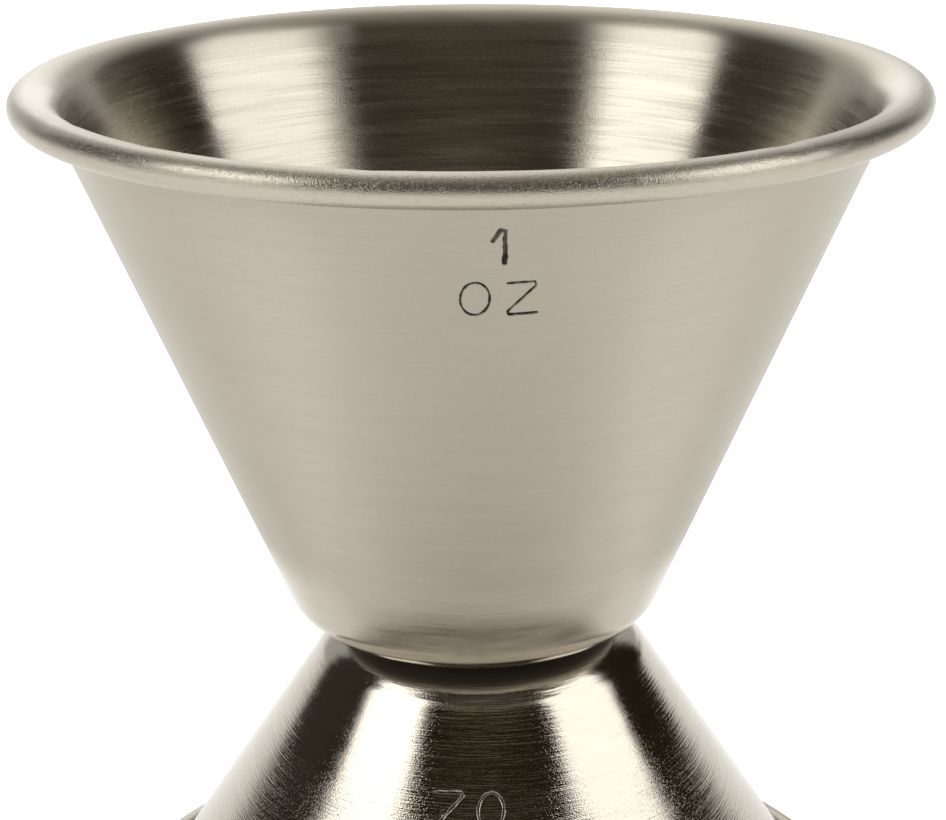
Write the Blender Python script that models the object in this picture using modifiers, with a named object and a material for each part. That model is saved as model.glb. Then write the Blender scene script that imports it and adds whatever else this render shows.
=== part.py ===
"""Double-ended bar jigger: two pressed steel cups, base to base, held by a spot weld.

Units are metres and +Z is up. The jigger stands on the small cup's rim, with the large cup's mouth up.
The origin is on the large cup's axis, in the plane of the small cup's rim.
"""

import math

import bmesh
import bpy

# Sheet and rolled rim, the same on both cups
SHEET = 0.0006                       # thickness of the steel sheet
CURL_RADIUS = 0.00087                # outside radius of the rolled edge's round section
CURL_LAND = 0.0002                   # width of the flat that the rolled edge rests on
FLARE_RADIUS = 0.0019                # inside face's radius where the wall turns out into the rim
CURL_END = -160.0                    # degrees round the section at which the rolled edge ends

# Large cup, one fluid ounce
LARGE_HEIGHT = 0.0325                # base to the top of the rim
LARGE_BASE_RADIUS = 0.0104           # outside cone, carried on to the plane of the base
LARGE_WALL_ANGLE = 23.0              # degrees between the wall and the axis
LARGE_CORNER = 0.0030                # outside radius between the base and the wall

# Small cup, half a fluid ounce
SMALL_HEIGHT = 0.0219
SMALL_BASE_RADIUS = 0.0086
SMALL_WALL_ANGLE = 32.8
SMALL_CORNER = 0.0045
SMALL_OFFSET = 0.0005                # how far its axis was welded from the large cup's axis, along +X

# Spot weld between the two bases
CLEARANCE = 0.0003                   # left between neighbouring pieces
NUGGET_RADIUS = 0.0020
NUGGET_DEPTH = 0.00036               # how far the fused zone reaches into each base
NUGGET_EDGE = 0.0001                 # rounding of the nugget's rim

# Steps along the arcs and round the axis
TURN_STEPS = 64
CORNER_STEPS = 4
FLARE_STEPS = 4
CURL_STEPS = 10
CURL_INSIDE_STEPS = 5
NUGGET_STEPS = 32
MERGE_DISTANCE = 0.00001

STEEL = (0.56, 0.53, 0.48, 1.0)
WELD_STEEL = (0.40, 0.37, 0.34, 1.0)


def clear_scene():
    for item in list(bpy.data.objects):
        bpy.data.objects.remove(item, do_unlink=True)


def make_collection(name):
    collection = bpy.data.collections.new(name)
    bpy.context.scene.collection.children.link(collection)
    return collection


def make_metal(name, color, roughness):
    material = bpy.data.materials.new(name)
    material.use_nodes = True
    shader = material.node_tree.nodes["Principled BSDF"]
    shader.inputs["Base Color"].default_value = color
    shader.inputs["Metallic"].default_value = 1.0
    shader.inputs["Roughness"].default_value = roughness
    return material


def arc(center, radius, start, end, steps):
    """Points on an arc from start to end, in degrees from the direction away from the axis."""
    points = []
    for i in range(steps + 1):
        angle = math.radians(start + (end - start) * i / steps)
        points.append((center[0] + radius * math.cos(angle), center[1] + radius * math.sin(angle)))
    return points


def cup_profile(height, base_radius, wall_angle, corner):
    """Half section of a cup with its mouth up, from the middle of its floor over the rim to its base.

    Each point is (distance from the axis, height over the base). The wall is a straight cone between
    two bends, and the edge of the sheet is rolled outwards and down into a hollow bead.
    """
    slope = math.tan(math.radians(wall_angle))
    secant = 1.0 / math.cos(math.radians(wall_angle))
    corner_center = (base_radius + corner * (slope - secant), corner)
    # The flare is tangent to the wall's inside face, and its highest point is at the full height.
    inside_radius = base_radius - SHEET * secant
    flare_center = (
        inside_radius + height * slope + FLARE_RADIUS * (secant - slope),
        height - FLARE_RADIUS,
    )
    curl_center = (flare_center[0] + CURL_LAND, height - CURL_RADIUS)
    pocket_radius = NUGGET_RADIUS + CLEARANCE + SMALL_OFFSET / 2

    points = [(0.0, SHEET)]
    points += arc(corner_center, corner - SHEET, -90.0, -wall_angle, CORNER_STEPS)
    points += arc(flare_center, FLARE_RADIUS, 180.0 - wall_angle, 90.0, FLARE_STEPS)
    points += arc(curl_center, CURL_RADIUS, 90.0, CURL_END, CURL_STEPS)
    points += arc(curl_center, CURL_RADIUS - SHEET, CURL_END, 90.0, CURL_INSIDE_STEPS)
    points += arc(flare_center, FLARE_RADIUS - SHEET, 90.0, 180.0 - wall_angle, FLARE_STEPS)
    points += arc(corner_center, corner, -wall_angle, -90.0, CORNER_STEPS)
    points += [(pocket_radius, 0.0), (pocket_radius, NUGGET_DEPTH), (0.0, NUGGET_DEPTH)]
    return points


def turn(name, profile, material, collection):
    """A solid turned from a half section that starts and ends on the axis."""
    mesh = bpy.data.meshes.new(name)
    vertices = [(radius, 0.0, height) for radius, height in profile]
    edges = [(i, i + 1) for i in range(len(vertices) - 1)]
    mesh.from_pydata(vertices, edges, [])
    item = bpy.data.objects.new(name, mesh)
    collection.objects.link(item)
    mesh.materials.append(material)
    screw = item.modifiers.new("turned", "SCREW")
    screw.axis = "Z"
    screw.angle = 2.0 * math.pi
    screw.steps = TURN_STEPS
    screw.render_steps = TURN_STEPS
    screw.use_merge_vertices = True
    screw.merge_threshold = MERGE_DISTANCE
    screw.use_smooth_shade = True
    return item


def make_large_cup(collection, base_height):
    profile = cup_profile(LARGE_HEIGHT, LARGE_BASE_RADIUS, LARGE_WALL_ANGLE, LARGE_CORNER)
    cup = turn("large_cup", profile, make_metal("large_cup_steel", STEEL, 0.36), collection)
    cup.location = (0.0, 0.0, base_height)
    return cup


def make_small_cup(collection):
    profile = cup_profile(SMALL_HEIGHT, SMALL_BASE_RADIUS, SMALL_WALL_ANGLE, SMALL_CORNER)
    cup = turn("small_cup", profile, make_metal("small_cup_steel", STEEL, 0.24), collection)
    cup.location = (SMALL_OFFSET, 0.0, SMALL_HEIGHT)
    cup.rotation_euler = (math.pi, 0.0, 0.0)
    return cup


def make_weld_nugget(collection):
    """The disc of fused metal between the bases, which lies in a shallow pocket in each of them."""
    mesh = bpy.data.meshes.new("weld_nugget")
    shape = bmesh.new()
    bmesh.ops.create_cone(
        shape,
        cap_ends=True,
        segments=NUGGET_STEPS,
        radius1=NUGGET_RADIUS,
        radius2=NUGGET_RADIUS,
        depth=2.0 * NUGGET_DEPTH - CLEARANCE,
    )
    shape.to_mesh(mesh)
    shape.free()
    mesh.materials.append(make_metal("weld_steel", WELD_STEEL, 0.5))
    mesh.shade_smooth()
    mesh.set_sharp_from_angle(angle=math.radians(40.0))
    nugget = bpy.data.objects.new("weld_nugget", mesh)
    collection.objects.link(nugget)
    nugget.location = (SMALL_OFFSET / 2, 0.0, SMALL_HEIGHT + CLEARANCE / 2)
    bevel = nugget.modifiers.new("rounded_edge", "BEVEL")
    bevel.width = NUGGET_EDGE
    bevel.segments = 2
    return nugget


def main():
    clear_scene()
    parts = make_collection("bar_jigger")
    stand = bpy.data.objects.new("bar_jigger_origin", None)
    parts.objects.link(stand)
    pieces = [
        make_large_cup(parts, SMALL_HEIGHT + CLEARANCE),
        make_small_cup(parts),
        make_weld_nugget(parts),
    ]
    for piece in pieces:
        piece.parent = stand


main()
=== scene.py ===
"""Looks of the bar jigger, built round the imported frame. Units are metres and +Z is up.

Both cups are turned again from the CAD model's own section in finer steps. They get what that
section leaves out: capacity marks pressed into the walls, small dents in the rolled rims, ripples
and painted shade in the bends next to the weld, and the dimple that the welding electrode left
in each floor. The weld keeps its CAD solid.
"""

import math
import random
from collections import namedtuple

import bpy
from mathutils import Matrix, Vector, noise


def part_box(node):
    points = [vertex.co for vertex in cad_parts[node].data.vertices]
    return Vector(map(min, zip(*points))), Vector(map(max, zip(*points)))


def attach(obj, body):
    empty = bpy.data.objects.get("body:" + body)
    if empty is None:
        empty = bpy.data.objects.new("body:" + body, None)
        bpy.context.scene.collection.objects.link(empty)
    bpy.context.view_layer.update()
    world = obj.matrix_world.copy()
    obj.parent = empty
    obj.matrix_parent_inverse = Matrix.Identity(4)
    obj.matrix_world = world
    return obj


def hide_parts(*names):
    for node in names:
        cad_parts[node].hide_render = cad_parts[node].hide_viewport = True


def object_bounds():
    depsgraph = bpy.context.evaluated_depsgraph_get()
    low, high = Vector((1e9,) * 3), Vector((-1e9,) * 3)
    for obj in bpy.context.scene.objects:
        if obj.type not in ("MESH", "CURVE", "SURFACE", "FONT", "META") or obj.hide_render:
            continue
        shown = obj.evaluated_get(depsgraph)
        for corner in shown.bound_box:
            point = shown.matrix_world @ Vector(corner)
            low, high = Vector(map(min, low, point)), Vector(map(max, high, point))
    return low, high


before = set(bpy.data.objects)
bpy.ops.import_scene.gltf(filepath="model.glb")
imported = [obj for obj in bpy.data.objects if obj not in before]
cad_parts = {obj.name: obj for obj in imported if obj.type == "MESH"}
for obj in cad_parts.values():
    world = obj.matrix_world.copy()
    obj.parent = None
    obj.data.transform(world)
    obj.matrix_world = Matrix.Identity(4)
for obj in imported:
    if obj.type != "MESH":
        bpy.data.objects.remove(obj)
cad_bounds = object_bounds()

MM = 0.001

# The cups' section, as in the CAD model
SHEET = 0.60 * MM                    # thickness of the steel sheet
CURL_RADIUS = 0.87 * MM              # outside radius of the rolled edge
CURL_LAND = 0.20 * MM                # flat on the crest of the rolled edge
FLARE_RADIUS = 1.90 * MM             # inside bend from the wall into the rim
CURL_END = -160.0                    # degrees round the rolled edge
LARGE_CORNER = 3.0 * MM              # outside bend between base and wall
SMALL_CORNER = 4.5 * MM
POCKET_DEPTH = 0.36 * MM             # recess in each base for the weld
CLEARANCE = 0.3 * MM
LARGE_WALL_ANGLE = 23.0              # degrees from the axis
SMALL_WALL_ANGLE = 32.8

# Steps of the finer mesh
COARSE_ANGLE = 1.5                   # degrees between columns
COARSE_STEP = 1.20 * MM              # between rows along the walls
FINE_STEP = 0.044 * MM               # between rows and columns in the marks
BEND_STEPS = 12                      # in the floor's bend and in the flare
CORNER_STEPS = 36                    # in the outside bend between base and wall
CURL_STEPS = 24
FLOOR_STEPS = 18

# Capacity marks, pressed into the walls with single strokes
LETTER_WIDTH = 1.46 * MM
LETTER_HEIGHT = 2.02 * MM
LETTER_PITCH = 2.32 * MM             # between the middles of neighbouring letters
FRACTION_PITCH = 1.25 * MM
LINE_PITCH = 3.23 * MM
MARK_MARGIN = 0.20 * MM              # finer mesh round each line of letters
LARGE_MARK_DOWN = 3.55 * MM          # from the rim's plane along the wall to the first line
SMALL_MARK_DOWN = 13.80 * MM
MARK_TURN = 3.5                      # degrees from the front of the wall
GROOVE_DEPTH = 0.080 * MM
GROOVE_SIDE = 0.060 * MM             # width of a groove's sloping side
GROOVE_LIP = 0.006 * MM
GROOVE_WANDER = 0.45 * MM            # length over which its width changes
WANDER_SHARE = 0.45                  # of its half width, how far it changes

# Rolled rims
RIM_DENTS = 16
RIM_WAVE = 0.012 * MM                # height of the slow waves

# Outside bends between the bases and the walls
CORNER_RIPPLE = 0.012 * MM           # height of the ripples
RIPPLES_ROUND = 3.5                  # how fast they change round the axis
RIPPLE_LENGTH = 1.6 * MM             # and over what height
RIPPLE_START = 0.6 * MM              # height over the base at which they are at their full size
CORNER_FADE = 4.0 * MM               # stretch of wall over which its finish turns into the bend's
PAINTED_SHADE_SHARE = 0.9                     # how much painted shade darkens the steel where the bases meet
LARGE_PAINTED_SHADE = 0.45 * MM               # height over the base at which the painted shade ends
SMALL_PAINTED_SHADE = 0.15 * MM
RING_HEIGHT = 1.49 * MM              # over the small cup's base, a shallow ring turned into its bend
RING_DEPTH = 0.012 * MM
RING_WIDTH = 0.15 * MM

# Electrode's dimple in each floor: a flat with a low ring round it
FLAT_FLOOR = 1.01 * SHEET            # the inside's rows lower than this are on the flat of the floor
DIMPLE_RADIUS = 1.7 * MM
DIMPLE_DEPTH = 0.06 * MM
DIMPLE_EDGE = 0.12 * MM
DIMPLE_RING_RADIUS = 1.9 * MM
DIMPLE_RING_HEIGHT = 0.02 * MM
DIMPLE_RING_WIDTH = 0.35 * MM

Cup = namedtuple(
    "Cup", "height rim_radius wall_angle corner soot_height ring_height base_z axis_x flipped"
)
Row = namedtuple("Row", "radius height finish down")
Marks = namedtuple("Marks", "segments windows angle width")
Dent = namedtuple("Dent", "angle row_height depth width")
Finish = namedtuple("Finish", "roughness brushing pitting")


# ---------------------------------------------------------------- sizes from the frame

def cup_from_frame(node, wall_angle, corner, soot_height, ring_height, flipped):
    """One cup's sizes and place. A flipped cup has its base at the top."""
    low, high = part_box(node)
    return Cup(
        height=high.z - low.z,
        rim_radius=(high.x - low.x) / 2,
        wall_angle=wall_angle,
        corner=corner,
        soot_height=soot_height,
        ring_height=ring_height,
        base_z=high.z if flipped else low.z,
        axis_x=(low.x + high.x) / 2,
        flipped=flipped,
    )


# ---------------------------------------------------------------- the cups' section

def arc(center, radius, start, end, steps):
    """Points on an arc from start to end, in degrees from the direction away from the axis."""
    points = []
    for i in range(steps + 1):
        angle = math.radians(start + (end - start) * i / steps)
        points.append((center[0] + radius * math.cos(angle), center[1] + radius * math.sin(angle)))
    return points


def between(first, last, shares):
    """Points between two ends, at these shares of the way."""
    return [tuple(a + (b - a) * share for a, b in zip(first, last)) for share in shares]


def spaced(end, windows):
    """Distances from 0 to end, coarse steps apart, and fine steps apart inside the windows."""
    distances = [0.0]
    while distances[-1] < end - FINE_STEP:
        here = distances[-1]
        fine = any(low <= here < high for low, high in windows)
        ahead = [low for low, high in windows if low > here]
        distances.append(min([here + (FINE_STEP if fine else COARSE_STEP)] + ahead))
    return distances[1:-1]


def bend_centers(cup):
    """Centres of the section's round stretches: base corner, flare and rolled edge."""
    slope = math.tan(math.radians(cup.wall_angle))
    secant = 1.0 / math.cos(math.radians(cup.wall_angle))
    curl = (cup.rim_radius - CURL_RADIUS, cup.height - CURL_RADIUS)
    flare = (curl[0] - CURL_LAND, cup.height - FLARE_RADIUS)
    inside_radius = flare[0] - cup.height * slope - FLARE_RADIUS * (secant - slope)
    base_radius = inside_radius + SHEET * secant
    corner = (base_radius + cup.corner * (slope - secant), cup.corner)
    return corner, flare, curl


def inner_wall(low_end, high_end):
    """Points up the inside of the wall, coarse steps apart."""
    steps = round(math.dist(low_end, high_end) / COARSE_STEP)
    return between(low_end, high_end, [i / steps for i in range(1, steps)])


def distance_down(cup, height):
    """Distance along the wall from the rim's plane to this height over the base."""
    return (cup.height - height) * (1.0 / math.cos(math.radians(cup.wall_angle)))


def outer_wall(cup, high_end, low_end, windows):
    """Points down the outside of the wall, with fine steps inside the marks' windows."""
    length = math.dist(high_end, low_end)
    start = distance_down(cup, high_end[1])
    distances = spaced(length, [(low - start, high - start) for low, high in windows])
    return between(high_end, low_end, [distance / length for distance in distances])


def weld_pocket(cup):
    """The recess in the base, with the usual clearance round the weld."""
    low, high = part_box("weld_nugget")
    radius = max(abs(low.x - cup.axis_x), abs(high.x - cup.axis_x)) + CLEARANCE
    return [(radius, 0.0), (radius, POCKET_DEPTH), (0.0, POCKET_DEPTH)]


def section(cup, windows):
    """Rows of one cup with its mouth up, from the middle of its floor over the rim to its base."""
    corner_center, flare_center, curl_center = bend_centers(cup)
    low_angle = -cup.wall_angle
    flare_angle = 180.0 - cup.wall_angle
    floor_bend = arc(corner_center, cup.corner - SHEET, -90.0, low_angle, BEND_STEPS)
    inner_flare = arc(flare_center, FLARE_RADIUS, flare_angle, 90.0, BEND_STEPS)
    curl = arc(curl_center, CURL_RADIUS, 90.0, CURL_END, CURL_STEPS)
    curl_inside = arc(curl_center, CURL_RADIUS - SHEET, CURL_END, 90.0, CURL_STEPS // 2)
    under_flare = arc(flare_center, FLARE_RADIUS - SHEET, 90.0, flare_angle, BEND_STEPS // 2)
    base_bend = arc(corner_center, cup.corner, low_angle, -90.0, CORNER_STEPS)
    floor = between((0.0, SHEET), floor_bend[0], [i / FLOOR_STEPS for i in range(FLOOR_STEPS)])

    rows = []
    for finish, points in (
        ("inside", floor + floor_bend + inner_wall(floor_bend[-1], inner_flare[0])),
        ("flare", inner_flare),
        ("bead", curl),
        ("hidden", curl_inside + under_flare),
        ("outside", outer_wall(cup, under_flare[-1], base_bend[0], windows)),
        ("corner", base_bend),
        ("pocket", weld_pocket(cup)),
    ):
        for radius, height in points:
            rows.append(Row(radius, height, finish, distance_down(cup, height)))
    return rows


def columns(mark_angle, mark_width, radius):
    """Angles round the axis, coarse steps apart, and fine steps apart across the marks."""
    half = math.degrees((mark_width / 2 + MARK_MARGIN) / radius)
    fine = math.degrees(FINE_STEP / radius)
    fine_count = round(2 * half / fine)
    coarse_count = round((360.0 - 2 * half) / COARSE_ANGLE)
    start = mark_angle - half
    across = [start + 2 * half * i / fine_count for i in range(fine_count)]
    around = [start + 2 * half + (360.0 - 2 * half) * i / coarse_count for i in range(coarse_count)]
    return [math.radians(angle) for angle in across + around]


# ---------------------------------------------------------------- capacity marks

def ring_stroke(steps=28):
    """An O, in a letter box one wide and one tall, measured right and down."""
    turns = [2 * math.pi * i / steps for i in range(steps + 1)]
    return [(0.5 + 0.5 * math.cos(turn), 0.5 + 0.5 * math.sin(turn)) for turn in turns]


def two_stroke(steps=12):
    """A 2: a bow, a slanting stroke and a foot."""
    bow = []
    for i in range(steps + 1):
        turn = math.radians(-180.0 + 215.0 * i / steps)
        bow.append((0.5 + 0.45 * math.cos(turn), 0.3 + 0.3 * math.sin(turn)))
    return bow + [(0.05, 1.0), (1.0, 1.0)]


# Each letter's stroke, its width as a share of a letter's, and the half width of its groove
LETTERS = {
    "1": ([(0.0, 0.34), (0.52, 0.03), (0.80, 0.06), (0.84, 1.0)], 0.50, 0.135 * MM),
    "2": (two_stroke(), 0.72, 0.090 * MM),
    "/": ([(0.85, 0.0), (0.15, 1.0)], 0.62, 0.080 * MM),
    "O": (ring_stroke(), 1.0, 0.072 * MM),
    "Z": (
        [(0.0, 0.03), (0.92, 0.0), (0.96, 0.12), (0.02, 0.90), (0.06, 1.0), (1.02, 0.97)],
        1.0,
        0.075 * MM,
    ),
}


def line_strokes(text, pitch, top):
    """Segments of one line of letters: (x1, y1, x2, y2, half width), right and down."""
    segments = []
    for place, letter in enumerate(text):
        stroke, share, half_width = LETTERS[letter]
        width = LETTER_WIDTH * share
        left = (place - (len(text) - 1) / 2) * pitch - width / 2
        points = [(left + x * width, top + y * LETTER_HEIGHT) for x, y in stroke]
        for a, b in zip(points, points[1:]):
            segments.append((*a, *b, half_width))
    return segments


def lay_out_marks(lines, angle):
    """One cup's lines of letters, each given as (text, pitch, top), about this angle in degrees."""
    segments = []
    windows = []
    for text, pitch, top in lines:
        segments += line_strokes(text, pitch, top)
        windows.append((top - MARK_MARGIN, top + LETTER_HEIGHT + MARK_MARGIN))
    width = max((len(text) - 1) * pitch for text, pitch, top in lines) + LETTER_WIDTH
    return Marks(segments, windows, angle, width)


def distance_to_segment(x, y, x1, y1, x2, y2):
    dx = x2 - x1
    dy = y2 - y1
    share = ((x - x1) * dx + (y - y1) * dy) / (dx * dx + dy * dy)
    share = min(1.0, max(0.0, share))
    return math.hypot(x - x1 - share * dx, y - y1 - share * dy)


def smooth(share):
    """From 0 to 1 with soft ends, and level outside them."""
    share = min(1.0, max(0.0, share))
    return share * share * (3.0 - 2.0 * share)


def groove(x, y, segments):
    """Height of the marks' surface over the wall at a place, and the grime in the groove there.

    A groove has a flat bottom between steep sides, and a low lip beside it where the metal was
    pushed up. Its width wanders a little, as a hand-cut punch's does.
    """
    wander = noise.noise(Vector((x, y, 0.0)) / GROOVE_WANDER)
    inside = max(
        half_width * (1.0 + WANDER_SHARE * wander) - distance_to_segment(x, y, x1, y1, x2, y2)
        for x1, y1, x2, y2, half_width in segments
    )
    if inside < 0.0:
        return GROOVE_LIP * math.exp(-(inside / GROOVE_SIDE) ** 2), 0.0
    fallen = smooth(inside / GROOVE_SIDE)
    worn_middle = 0.10 * smooth(inside / GROOVE_SIDE - 1.0)
    grime_and_shade = smooth(3.0 * fallen) * (1.0 - worn_middle) * (0.95 + 0.4 * wander)
    return -GROOVE_DEPTH * fallen, min(grime_and_shade, 1.0)


# ---------------------------------------------------------------- dents, ripples and painted shade

def rim_dents(seed):
    """Dents at random places round a rolled rim, the same ones each time."""
    draw = random.Random(seed)
    dents = []
    for _ in range(RIM_DENTS):
        dents.append(Dent(
            angle=draw.uniform(0.0, 2 * math.pi),
            row_height=draw.uniform(-0.4, 1.0) * CURL_RADIUS,
            depth=draw.uniform(0.015, 0.05) * MM,
            width=draw.uniform(0.5, 1.3) * MM,
        ))
    return dents


def rim_relief(angle, radius, height_in_curl, dents):
    """Height of the rolled rim's surface over the true section: slow waves and small dents.

    Seven waves go once round the rim, and seventeen lower ones over them.
    """
    relief = RIM_WAVE * (math.sin(7 * angle + 1.0) + 0.7 * math.sin(17 * angle + 2.2)) / 2
    for dent in dents:
        along = math.remainder(angle - dent.angle, 2 * math.pi) * radius
        across = height_in_curl - dent.row_height
        gap = (along * along + 2 * across * across) / (dent.width * dent.width)
        if gap < 4.0:
            relief -= dent.depth * math.exp(-2 * gap)
    return relief


def corner_relief(cup, angle, height):
    """Faint ripples from drawing the sheet, and the shallow ring if the cup has one."""
    x = RIPPLES_ROUND * math.cos(angle)
    y = RIPPLES_ROUND * math.sin(angle)
    place = Vector((x, y, height / RIPPLE_LENGTH))
    relief = CORNER_RIPPLE * smooth(height / RIPPLE_START) * noise.noise(place)
    if cup.ring_height:
        relief -= RING_DEPTH * math.exp(-((height - cup.ring_height) / RING_WIDTH) ** 2)
    return relief


def painted_shade_at(cup, height):
    """Painted shade, darkest where the two bases meet."""
    return PAINTED_SHADE_SHARE * smooth(1.0 - height / cup.soot_height)


def weld_dimple(radius):
    """The flat and the low ring that an electrode leaves in a cup's floor."""
    ring = math.exp(-((radius - DIMPLE_RING_RADIUS) / DIMPLE_RING_WIDTH) ** 2)
    flat = 1.0 / (1.0 + math.exp((radius - DIMPLE_RADIUS) / DIMPLE_EDGE))
    return DIMPLE_RING_HEIGHT * ring - DIMPLE_DEPTH * flat


# ---------------------------------------------------------------- turning the mesh

def row_normals(rows):
    """Direction out of the metal at each row, in the section's plane."""
    normals = []
    for i in range(len(rows)):
        before = rows[max(i - 1, 0)]
        after = rows[min(i + 1, len(rows) - 1)]
        away = after.radius - before.radius
        up = after.height - before.height
        length = math.hypot(away, up)
        normals.append((-up / length, away / length))
    return normals


def grid_faces(row_count, column_count):
    """Faces of a closed skin whose first and last rows are single points on the axis."""
    first = 0
    last = 1 + (row_count - 2) * column_count
    faces = []
    for c in range(column_count):
        d = (c + 1) % column_count
        faces.append((first, 1 + c, 1 + d))
        for r in range(row_count - 3):
            a = 1 + r * column_count
            b = a + column_count
            faces.append((a + c, b + c, b + d, a + d))
        end = 1 + (row_count - 3) * column_count
        faces.append((end + c, last, end + d))
    return faces


def finish_at(row, cup, finishes):
    """A row's finish. The outside turns into the bend's finish over the wall's last stretch."""
    here = finishes[row.finish]
    if row.finish != "outside":
        return here
    share = smooth(1.0 - (row.height - cup.corner) / CORNER_FADE)
    return Finish(*(a + (b - a) * share for a, b in zip(here, finishes["corner"])))


def surface_at(cup, row, angle, marks, dents):
    """Height of the surface over the plain section at a place, and its darkening: grime in the
    marks, painted shade in the bend and the pocket where the bases meet.
    """
    if row.finish == "outside" and any(low < row.down < high for low, high in marks.windows):
        across = math.remainder(angle - math.radians(marks.angle), 2 * math.pi) * row.radius
        if abs(across) < marks.width:
            return groove(across, row.down, marks.segments)
    if row.finish in ("flare", "bead"):
        height_in_curl = row.height - (cup.height - CURL_RADIUS)
        return rim_relief(angle, row.radius, height_in_curl, dents), 0.0
    if row.finish == "inside" and row.height < FLAT_FLOOR:
        return weld_dimple(row.radius), 0.0
    # Painted shade in the bend and in the weld's pocket, where the two bases meet.
    if row.finish == "corner":
        return corner_relief(cup, angle, row.height), painted_shade_at(cup, row.height)
    if row.finish == "pocket":
        return 0.0, painted_shade_at(cup, row.height)
    return 0.0, 0.0


def turn_cup(name, cup, marks, finishes, dents):
    """Turns a cup with its marks and dents, and notes the finish at each point."""
    rows = section(cup, marks.windows)
    first = marks.windows[0][0]
    last = marks.windows[-1][1]
    marked = [row.radius for row in rows if row.finish == "outside" and first < row.down < last]
    angles = columns(marks.angle, marks.width, sum(marked) / len(marked))

    vertices = []
    values = {"roughness": [], "brushing": [], "pitting": [], "grime_and_shade": []}
    for i, (row, normal) in enumerate(zip(rows, row_normals(rows))):
        on_axis = i in (0, len(rows) - 1)
        finish = finish_at(row, cup, finishes)
        for angle in angles[:1] if on_axis else angles:
            relief, grime_and_shade = surface_at(cup, row, angle, marks, dents)
            radius = 0.0 if on_axis else row.radius + relief * normal[0]
            height = row.height + relief * normal[1]
            vertices.append((radius * math.cos(angle), radius * math.sin(angle), height))
            for numbers, value in zip(values.values(), (*finish, grime_and_shade)):
                numbers.append(value)
    return cup_object(name, cup, vertices, grid_faces(len(rows), len(angles)), values)


def cup_object(name, cup, vertices, faces, values):
    """The cup's mesh in its place, with the values as attributes for its material."""
    mesh = bpy.data.meshes.new(name)
    mesh.from_pydata(vertices, [], faces)
    for key, numbers in values.items():
        mesh.attributes.new(key, "FLOAT", "POINT").data.foreach_set("value", numbers)
    mesh.shade_smooth()
    mesh.set_sharp_from_angle(angle=math.radians(60.0))
    item = bpy.data.objects.new(name, mesh)
    bpy.context.scene.collection.objects.link(item)
    item.location = (cup.axis_x, 0.0, cup.base_z)
    if cup.flipped:
        item.rotation_euler = (math.pi, 0.0, 0.0)
    return item


# ---------------------------------------------------------------- materials

class Nodes:
    """Shorthand for the nodes of a material or of the room."""

    def __init__(self, tree):
        self.tree = tree

    def node(self, kind, settings=None, **inputs):
        item = self.tree.nodes.new(kind)
        for key, value in (settings or {}).items():
            setattr(item, key, value)
        for key, value in inputs.items():
            self.feed(item.inputs[key.replace("_", " ")], value)
        return item

    def feed(self, socket, value):
        if isinstance(value, bpy.types.NodeSocket):
            self.tree.links.new(value, socket)
        else:
            socket.default_value = value

    def math(self, operation, first, second=0.0):
        item = self.tree.nodes.new("ShaderNodeMath")
        item.operation = operation
        self.feed(item.inputs[0], first)
        self.feed(item.inputs[1], second)
        return item.outputs[0]

    def weighted(self, *terms):
        """Sum of values, each with its weight."""
        total = 0.0
        for value, weight in terms:
            total = self.math("ADD", self.math("MULTIPLY", value, weight), total)
        return total

    def noise(self, vector, scale, detail, roughness=0.5):
        return self.node(
            "ShaderNodeTexNoise", Vector=vector, Scale=scale, Detail=detail, Roughness=roughness
        ).outputs["Fac"]

    def centred_noise(self, vector, detail, scale=1.0):
        """Noise round zero, mostly between -0.25 and 0.25."""
        return self.math("SUBTRACT", self.noise(vector, scale, detail), 0.5)

    def spread(self, value, low, high):
        """The value with low to high stretched to 0 to 1."""
        item = self.tree.nodes.new("ShaderNodeMapRange")
        self.feed(item.inputs["Value"], value)
        item.inputs["From Min"].default_value = low
        item.inputs["From Max"].default_value = high
        return item.outputs["Result"]

    def fade(self, value, low, high):
        """From 0 at low to 1 at high, with soft ends."""
        stretched = self.spread(value, low, high)
        stretched.node.interpolation_type = "SMOOTHSTEP"
        return stretched

    def mix(self, share, first, second):
        """The first colour where the share is 0, and the second where it is 1."""
        item = self.tree.nodes.new("ShaderNodeMix")
        item.data_type = "RGBA"
        self.feed(item.inputs["Factor"], share)
        self.feed(item.inputs[6], first)
        self.feed(item.inputs[7], second)
        return item.outputs[2]


class Shader(Nodes):
    """Shorthand for one material, with its surface."""

    def __init__(self, name):
        self.material = bpy.data.materials.new(name)
        self.material.use_nodes = True
        super().__init__(self.material.node_tree)
        self.surface = self.tree.nodes["Principled BSDF"]

    def attribute(self, name):
        return self.node("ShaderNodeAttribute", {"attribute_name": name}).outputs["Fac"]


def turning_lines(shader, turns, lines_per_metre):
    """A vector that changes fast from the base to the rim and slowly round the axis.

    Noise on it looks like the marks of an abrasive held against a spinning cup. The cup's
    origin is the middle of its base, so the distance to it is the same all along one mark.
    """
    place = shader.node("ShaderNodeTexCoord").outputs["Object"]
    parts = shader.node("ShaderNodeSeparateXYZ", Vector=place)
    flat = shader.node("ShaderNodeCombineXYZ", X=parts.outputs["X"], Y=parts.outputs["Y"])
    round_the_axis = shader.node("ShaderNodeVectorMath", {"operation": "NORMALIZE"})
    shader.tree.links.new(flat.outputs[0], round_the_axis.inputs[0])
    direction = shader.node("ShaderNodeSeparateXYZ", Vector=round_the_axis.outputs[0])
    reach = shader.node("ShaderNodeVectorMath", {"operation": "LENGTH"})
    shader.tree.links.new(place, reach.inputs[0])
    return shader.node(
        "ShaderNodeCombineXYZ",
        X=shader.math("MULTIPLY", direction.outputs["X"], turns),
        Y=shader.math("MULTIPLY", direction.outputs["Y"], turns),
        Z=shader.math("MULTIPLY", reach.outputs["Value"], lines_per_metre),
    ).outputs[0]


# How one steel is marked: the weights of the short grain, the long fine lines and the broad streaks
# in its relief, and how far these change the roughness
Pattern = namedtuple("Pattern", "grain lines streaks roughening")

RELIEF = 0.008 * MM

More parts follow.
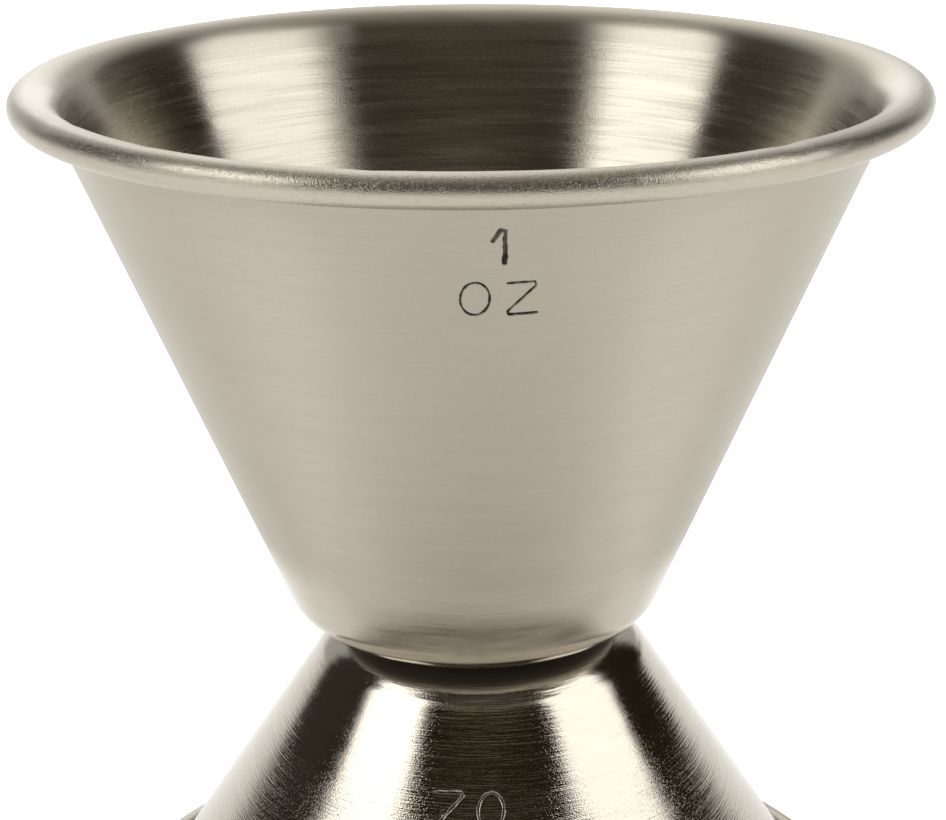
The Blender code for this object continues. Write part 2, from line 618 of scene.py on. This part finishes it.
# How fast each kind of mark changes round the axis, and from the base to the rim per metre
GRAIN = (150.0, 14000.0)
LINES = (3.0, 11000.0)
STREAKS = (2.2, 1500.0)

PIT_SCALE = 13000.0
WEAR_SCALE = 160.0                   # soft changes in gloss from handling
WEAR = 0.06
TONE_RANGE = 0.30                    # how far the tone goes either way from dull to bright

# What the grime in the marks and the painted shade where the bases meet do to the steel,
# where they are thickest
GRIME_AND_SHADE_COLOR = (0.011, 0.008, 0.005, 1.0)
GRIME_AND_SHADE_COVER = 0.96                   # share of the color that is the near-black's
GRIME_AND_SHADE_ROUGHNESS = 0.35               # added
GRIME_AND_SHADE_MATT = 0.9                     # share of the metal's reflection that is lost


def steel_marks(shader):
    """The short grain, long lines, broad streaks, pits and wear in the steel, each round zero."""
    grain = shader.centred_noise(turning_lines(shader, *GRAIN), 1.0)
    lines = shader.centred_noise(turning_lines(shader, *LINES), 2.0)
    streaks = shader.centred_noise(turning_lines(shader, *STREAKS), 2.0)
    place = shader.node("ShaderNodeTexCoord").outputs["Object"]
    wear = shader.math("MULTIPLY", shader.centred_noise(place, 3.0, scale=WEAR_SCALE), WEAR)
    # Noise times its own size is nearly flat in most places, with a few deep pits.
    pits = shader.centred_noise(place, 1.0, scale=PIT_SCALE)
    pits = shader.math("MULTIPLY", pits, shader.math("MULTIPLY", shader.math("ABSOLUTE", pits), 4.0))
    return grain, lines, streaks, pits, wear


def turned_steel(name, bright, dull, anisotropy, pattern):
    """Steel finished on a lathe. The mesh says how rough, brushed and pitted each place is, and how
    dark: grime in the marks, painted shade where the bases meet.
    """
    shader = Shader(name)
    brushing = shader.attribute("brushing")
    grime_and_shade = shader.attribute("grime_and_shade")
    grain, lines, streaks, pits, wear = steel_marks(shader)

    change = shader.weighted((grain, 0.3), (lines, 1.0), (streaks, 1.0))
    change = shader.math("MULTIPLY", shader.math("MULTIPLY", change, pattern.roughening), brushing)
    roughness = shader.math("ADD", shader.attribute("roughness"), shader.math("ADD", wear, change))
    roughness = shader.math("ADD", roughness, shader.math("MULTIPLY", grime_and_shade, GRIME_AND_SHADE_ROUGHNESS))
    shader.feed(shader.surface.inputs["Roughness"], roughness)

    tone = shader.weighted((grain, 0.7), (lines, 0.6), (streaks, 0.8), (wear, 2.0))
    color = shader.mix(shader.spread(tone, -TONE_RANGE, TONE_RANGE), dull, bright)
    # Grime in the marks and painted shade where the bases meet: near-black mixed into the color.
    color = shader.mix(shader.math("MULTIPLY", grime_and_shade, GRIME_AND_SHADE_COVER), color, GRIME_AND_SHADE_COLOR)
    shader.feed(shader.surface.inputs["Base Color"], color)

    cut = shader.weighted((grain, pattern.grain), (lines, pattern.lines), (streaks, pattern.streaks))
    cut = shader.math("MULTIPLY", cut, brushing)
    height = shader.math("ADD", cut, shader.math("MULTIPLY", pits, shader.attribute("pitting")))
    relief = shader.node("ShaderNodeBump", Strength=1.0, Distance=RELIEF, Height=height)
    shader.feed(shader.surface.inputs["Normal"], relief.outputs["Normal"])
    # Painted shade as well: the metal reflects less where the grime and the shade are.
    bare_metal = shader.math("SUBTRACT", 1.0, shader.math("MULTIPLY", grime_and_shade, GRIME_AND_SHADE_MATT))
    shader.feed(shader.surface.inputs["Metallic"], bare_metal)
    shader.surface.inputs["Specular IOR Level"].default_value = 0.1
    shader.surface.inputs["Anisotropic"].default_value = anisotropy
    shader.surface.inputs["Anisotropic Rotation"].default_value = 0.25
    tangent = shader.node("ShaderNodeTangent", {"direction_type": "RADIAL", "axis": "Z"})
    shader.feed(shader.surface.inputs["Tangent"], tangent.outputs["Tangent"])
    return shader.material


def weld_metal():
    """Fused steel: duller than the sheet, with a straw-brown heat tint in rings."""
    shader = Shader("weld_metal")
    place = shader.node("ShaderNodeTexCoord").outputs["Object"]
    grain = shader.noise(place, 3000.0, 4.0)
    rings = shader.noise(turning_lines(shader, 1.0, 3000.0), 1.0, 2.0)
    straw = (0.30, 0.22, 0.13, 1.0)
    grey = (0.40, 0.37, 0.34, 1.0)
    tint = shader.mix(shader.spread(rings, 0.35, 0.65), straw, grey)
    shader.feed(shader.surface.inputs["Base Color"], tint)
    roughness = shader.math("ADD", shader.math("MULTIPLY", grain, 0.3), 0.35)
    shader.feed(shader.surface.inputs["Roughness"], roughness)
    relief = shader.node("ShaderNodeBump", Strength=0.6, Distance=0.05 * MM, Height=grain)
    shader.feed(shader.surface.inputs["Normal"], relief.outputs["Normal"])
    shader.surface.inputs["Metallic"].default_value = 1.0
    return shader.material


def floor_paper():
    """Matt white paper, lit from under it as on a light table, so that shadows stay soft."""
    shader = Shader("floor_paper")
    place = shader.node("ShaderNodeTexCoord").outputs["Object"]
    fibres = shader.noise(place, 900.0, 4.0)
    color = shader.mix(fibres, (0.80, 0.80, 0.79, 1.0), (0.84, 0.84, 0.83, 1.0))
    shader.feed(shader.surface.inputs["Base Color"], color)
    shader.surface.inputs["Emission Color"].default_value = WHITE
    seen = shader.node("ShaderNodeLightPath").outputs["Is Camera Ray"]
    glow = shader.math("ADD", shader.math("MULTIPLY", seen, FLOOR_GLARE), FLOOR_GLOW)
    shader.feed(shader.surface.inputs["Emission Strength"], glow)
    shader.surface.inputs["Roughness"].default_value = 0.9
    shader.surface.inputs["Specular IOR Level"].default_value = 0.1
    return shader.material


# ---------------------------------------------------------------- pieces

# Finishes of the parts of the section that both cups have alike
SHARED_FINISHES = {
    "bead": Finish(0.25, 0.15, 4.5),
    "hidden": Finish(0.35, 0.2, 0.2),
    "pocket": Finish(0.40, 0.2, 0.5),
}


def make_large_cup():
    """The one-ounce cup, mouth up: satin outside, and brushed round the axis inside."""
    cup = cup_from_frame("large_cup", LARGE_WALL_ANGLE, LARGE_CORNER, LARGE_PAINTED_SHADE, None, flipped=False)
    finishes = {
        **SHARED_FINISHES,
        "inside": Finish(0.25, 1.0, 0.1),
        "flare": Finish(0.30, 0.4, 0.4),
        "outside": Finish(0.37, 0.40, 0.3),
        "corner": Finish(0.12, 0.4, 0.3),
    }
    lines = [
        ("1", LETTER_PITCH, LARGE_MARK_DOWN),
        ("OZ", LETTER_PITCH, LARGE_MARK_DOWN + LINE_PITCH),
    ]
    marks = lay_out_marks(lines, -90.0 + MARK_TURN)
    item = turn_cup("large_cup_pressing", cup, marks, finishes, rim_dents(seed=3))
    item.data.materials.append(turned_steel(
        "satin_steel",
        bright=(0.525, 0.484, 0.408, 1.0),
        dull=(0.465, 0.424, 0.352, 1.0),
        anisotropy=0.94,
        pattern=Pattern(grain=0.5, lines=0.12, streaks=0.4, roughening=0.2),
    ))
    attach(item, "root")
    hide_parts("large_cup")


def make_small_cup():
    """The half-ounce cup, mouth down: bright, with fine lines round the axis."""
    cup = cup_from_frame(
        "small_cup", SMALL_WALL_ANGLE, SMALL_CORNER, SMALL_PAINTED_SHADE, RING_HEIGHT, flipped=True
    )
    finishes = {
        **SHARED_FINISHES,
        "inside": Finish(0.20, 1.0, 0.1),
        "flare": Finish(0.20, 0.4, 0.4),
        "outside": Finish(0.08, 1.0, 1.8),
        "corner": Finish(0.08, 0.6, 0.8),
    }
    lines = [
        ("1/2", FRACTION_PITCH, SMALL_MARK_DOWN),
        ("OZ", LETTER_PITCH, SMALL_MARK_DOWN + LINE_PITCH),
    ]
    marks = lay_out_marks(lines, 90.0 + MARK_TURN)
    item = turn_cup("small_cup_pressing", cup, marks, finishes, rim_dents(seed=8))
    item.data.materials.append(turned_steel(
        "polished_steel",
        bright=(0.500, 0.463, 0.396, 1.0),
        dull=(0.445, 0.407, 0.342, 1.0),
        anisotropy=0.4,
        pattern=Pattern(grain=0.6, lines=1.8, streaks=2.0, roughening=0.15),
    ))
    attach(item, "root")
    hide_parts("small_cup")


def finish_weld():
    """The weld keeps its CAD solid and gets its own material."""
    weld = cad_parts["weld_nugget"]
    weld.data.materials.clear()
    weld.data.materials.append(weld_metal())


# ---------------------------------------------------------------- studio

FLOOR_HALF = 4.0                     # half the length of its side
FLOOR_GLOW = 0.60
FLOOR_GLARE = 0.45                   # more glow where the camera looks straight at it
PANEL_DISTANCE = 1.30
SUBJECT_HEIGHT = 0.035               # height at which the softboxes point
OVERHEAD_HEIGHT = 0.85
OVERHEAD_SIZE = 0.5
OVERHEAD_POWER = 1.0

# Directions to parts of the room, in degrees to the right of the camera's side
DIM_AZIMUTH = -113.0
SWEEP_AZIMUTH = -174.5

# How bright each part of the room is
WHITE = (1.0, 1.0, 1.0, 1.0)
ROOM_DARK = (0.026, 0.019, 0.010, 1.0)
ROOM_DIM = (0.05, 0.045, 0.035, 1.0)
ROOM_STRIP = (0.22, 0.205, 0.16, 1.0)
ROOM_CEILING = (0.34, 0.32, 0.28, 1.0)
SWEEP_SIDE = (0.60, 0.60, 0.58, 1.0)
SWEEP_MIDDLE = (1.45, 1.45, 1.42, 1.0)
TABLE = (1.0, 1.0, 0.98, 1.0)

# Direction of each softbox seen from the jigger: degrees right of the camera's side, degrees up,
# and its width and height in degrees
Softbox = namedtuple("Softbox", "name azimuth elevation width height radiance")
SOFTBOXES = (
    Softbox("left_softbox", -66.0, 33.0, 35.0, 32.0, 2.85),
    Softbox("right_softbox", 74.5, 30.0, 41.0, 38.0, 2.25),
)


def rectangle(name, half_width, half_height):
    """A flat mesh round the origin."""
    mesh = bpy.data.meshes.new(name)
    corners = [
        (-half_width, -half_height, 0.0),
        (half_width, -half_height, 0.0),
        (half_width, half_height, 0.0),
        (-half_width, half_height, 0.0),
    ]
    mesh.from_pydata(corners, [], [(0, 1, 2, 3)])
    return mesh


def make_floor():
    """A wide sheet of paper at the level that the jigger stands on."""
    mesh = rectangle("floor", FLOOR_HALF, FLOOR_HALF)
    floor = bpy.data.objects.new("floor", mesh)
    bpy.context.scene.collection.objects.link(floor)
    floor.location.z = cad_bounds[0][2]
    mesh.materials.append(floor_paper())


def glowing_material(name, radiance):
    """A material that only gives light."""
    material = bpy.data.materials.new(name)
    material.use_nodes = True
    material.node_tree.nodes.clear()
    nodes = Nodes(material.node_tree)
    light = nodes.node("ShaderNodeEmission", Strength=radiance)
    nodes.node("ShaderNodeOutputMaterial", Surface=light.outputs[0])
    return material


def make_softbox(box):
    """A glowing panel that faces the jigger and that only its reflections show."""
    half_width = PANEL_DISTANCE * math.tan(math.radians(box.width / 2))
    half_height = PANEL_DISTANCE * math.tan(math.radians(box.height / 2))
    mesh = rectangle(box.name, half_width, half_height)
    mesh.materials.append(glowing_material(box.name, box.radiance))
    panel = bpy.data.objects.new(box.name, mesh)
    bpy.context.scene.collection.objects.link(panel)
    azimuth = math.radians(box.azimuth)
    elevation = math.radians(box.elevation)
    panel.location = (
        PANEL_DISTANCE * math.sin(azimuth) * math.cos(elevation),
        -PANEL_DISTANCE * math.cos(azimuth) * math.cos(elevation),
        SUBJECT_HEIGHT + PANEL_DISTANCE * math.sin(elevation),
    )
    panel.rotation_euler = (math.radians(90.0) - elevation, 0.0, azimuth)
    panel.visible_camera = False


def make_overhead():
    """Light for the floor alone: the metal has no reflection of it."""
    light = bpy.data.lights.new("overhead", "AREA")
    light.shape = "DISK"
    light.size = OVERHEAD_SIZE
    light.energy = OVERHEAD_POWER
    item = bpy.data.objects.new("overhead", light)
    bpy.context.scene.collection.objects.link(item)
    item.location = (0.0, 0.0, OVERHEAD_HEIGHT)
    item.visible_glossy = False


def towards(nodes, direction, azimuth):
    """Cosine of the level angle between a direction and an azimuth, which is 0 towards the camera."""
    x, y, z = direction.outputs
    squares = nodes.math("ADD", nodes.math("MULTIPLY", x, x), nodes.math("MULTIPLY", y, y))
    level = nodes.math("MAXIMUM", nodes.math("SQRT", squares), 0.001)
    across = nodes.math("MULTIPLY", x, math.sin(math.radians(azimuth)))
    along = nodes.math("MULTIPLY", y, -math.cos(math.radians(azimuth)))
    return nodes.math("DIVIDE", nodes.math("ADD", across, along), level)


def room_color(nodes):
    """What a reflection finds in each direction. Heights are sines of the angle over level."""
    place = nodes.node("ShaderNodeTexCoord").outputs["Generated"]
    direction = nodes.node("ShaderNodeSeparateXYZ", Vector=place)
    height = direction.outputs["Z"]
    dim = nodes.fade(towards(nodes, direction, DIM_AZIMUTH), 0.85, 1.0)
    color = nodes.mix(dim, ROOM_DARK, ROOM_DIM)

    below_strip_top = nodes.math("SUBTRACT", 1.0, nodes.fade(height, 0.75, 0.80))
    strip = nodes.math("MULTIPLY", nodes.fade(height, 0.66, 0.70), below_strip_top)
    strip = nodes.math("MULTIPLY", strip, nodes.fade(towards(nodes, direction, 0.0), 0.55, 0.75))
    color = nodes.mix(strip, color, ROOM_STRIP)
    color = nodes.mix(nodes.fade(height, 0.80, 0.97), color, ROOM_CEILING)

    middle = towards(nodes, direction, SWEEP_AZIMUTH)
    sweep = nodes.mix(nodes.fade(middle, 0.93, 1.0), SWEEP_SIDE, SWEEP_MIDDLE)
    below_sweep_top = nodes.math("SUBTRACT", 1.0, nodes.fade(height, 0.90, 1.0))
    behind = nodes.math("MULTIPLY", nodes.fade(middle, 0.69, 0.74), below_sweep_top)
    color = nodes.mix(behind, color, sweep)
    below_level = nodes.math("SUBTRACT", 1.0, nodes.fade(height, 0.0, 0.03))
    return nodes.mix(below_level, color, TABLE)


def make_room():
    """The room that the metal reflects: dark and warm, with a pale sweep behind and a pale table.

    The camera itself sees plain white.
    """
    world = bpy.data.worlds.new("room")
    bpy.context.scene.world = world
    world.use_nodes = True
    nodes = Nodes(world.node_tree)
    seen = nodes.node("ShaderNodeLightPath").outputs["Is Camera Ray"]
    background = world.node_tree.nodes["Background"]
    nodes.feed(background.inputs["Color"], nodes.mix(seen, room_color(nodes), WHITE))


def make_camera():
    """In front of the jigger, above the level of its rim, and not quite upright."""
    distance = 0.135
    height_over_seam = 0.05773
    pitch = math.radians(18.516)
    roll = math.radians(0.37)
    data = bpy.data.cameras.new("camera")
    data.sensor_width = 36.0
    data.lens = 91.83
    data.clip_start = 0.01
    data.clip_end = 20.0
    camera = bpy.data.objects.new("camera", data)
    bpy.context.scene.collection.objects.link(camera)
    seam_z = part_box("large_cup")[0].z
    turned = Matrix.Rotation(math.pi / 2 - pitch, 4, "X") @ Matrix.Rotation(-roll, 4, "Z")
    camera.matrix_world = Matrix.Translation((0.0, -distance, seam_z + height_over_seam)) @ turned
    bpy.context.scene.camera = camera


bpy.context.scene.view_settings.view_transform = "Standard"
make_camera()
make_large_cup()
make_small_cup()
finish_weld()
make_floor()
for box in SOFTBOXES:
    make_softbox(box)
make_overhead()
make_room()
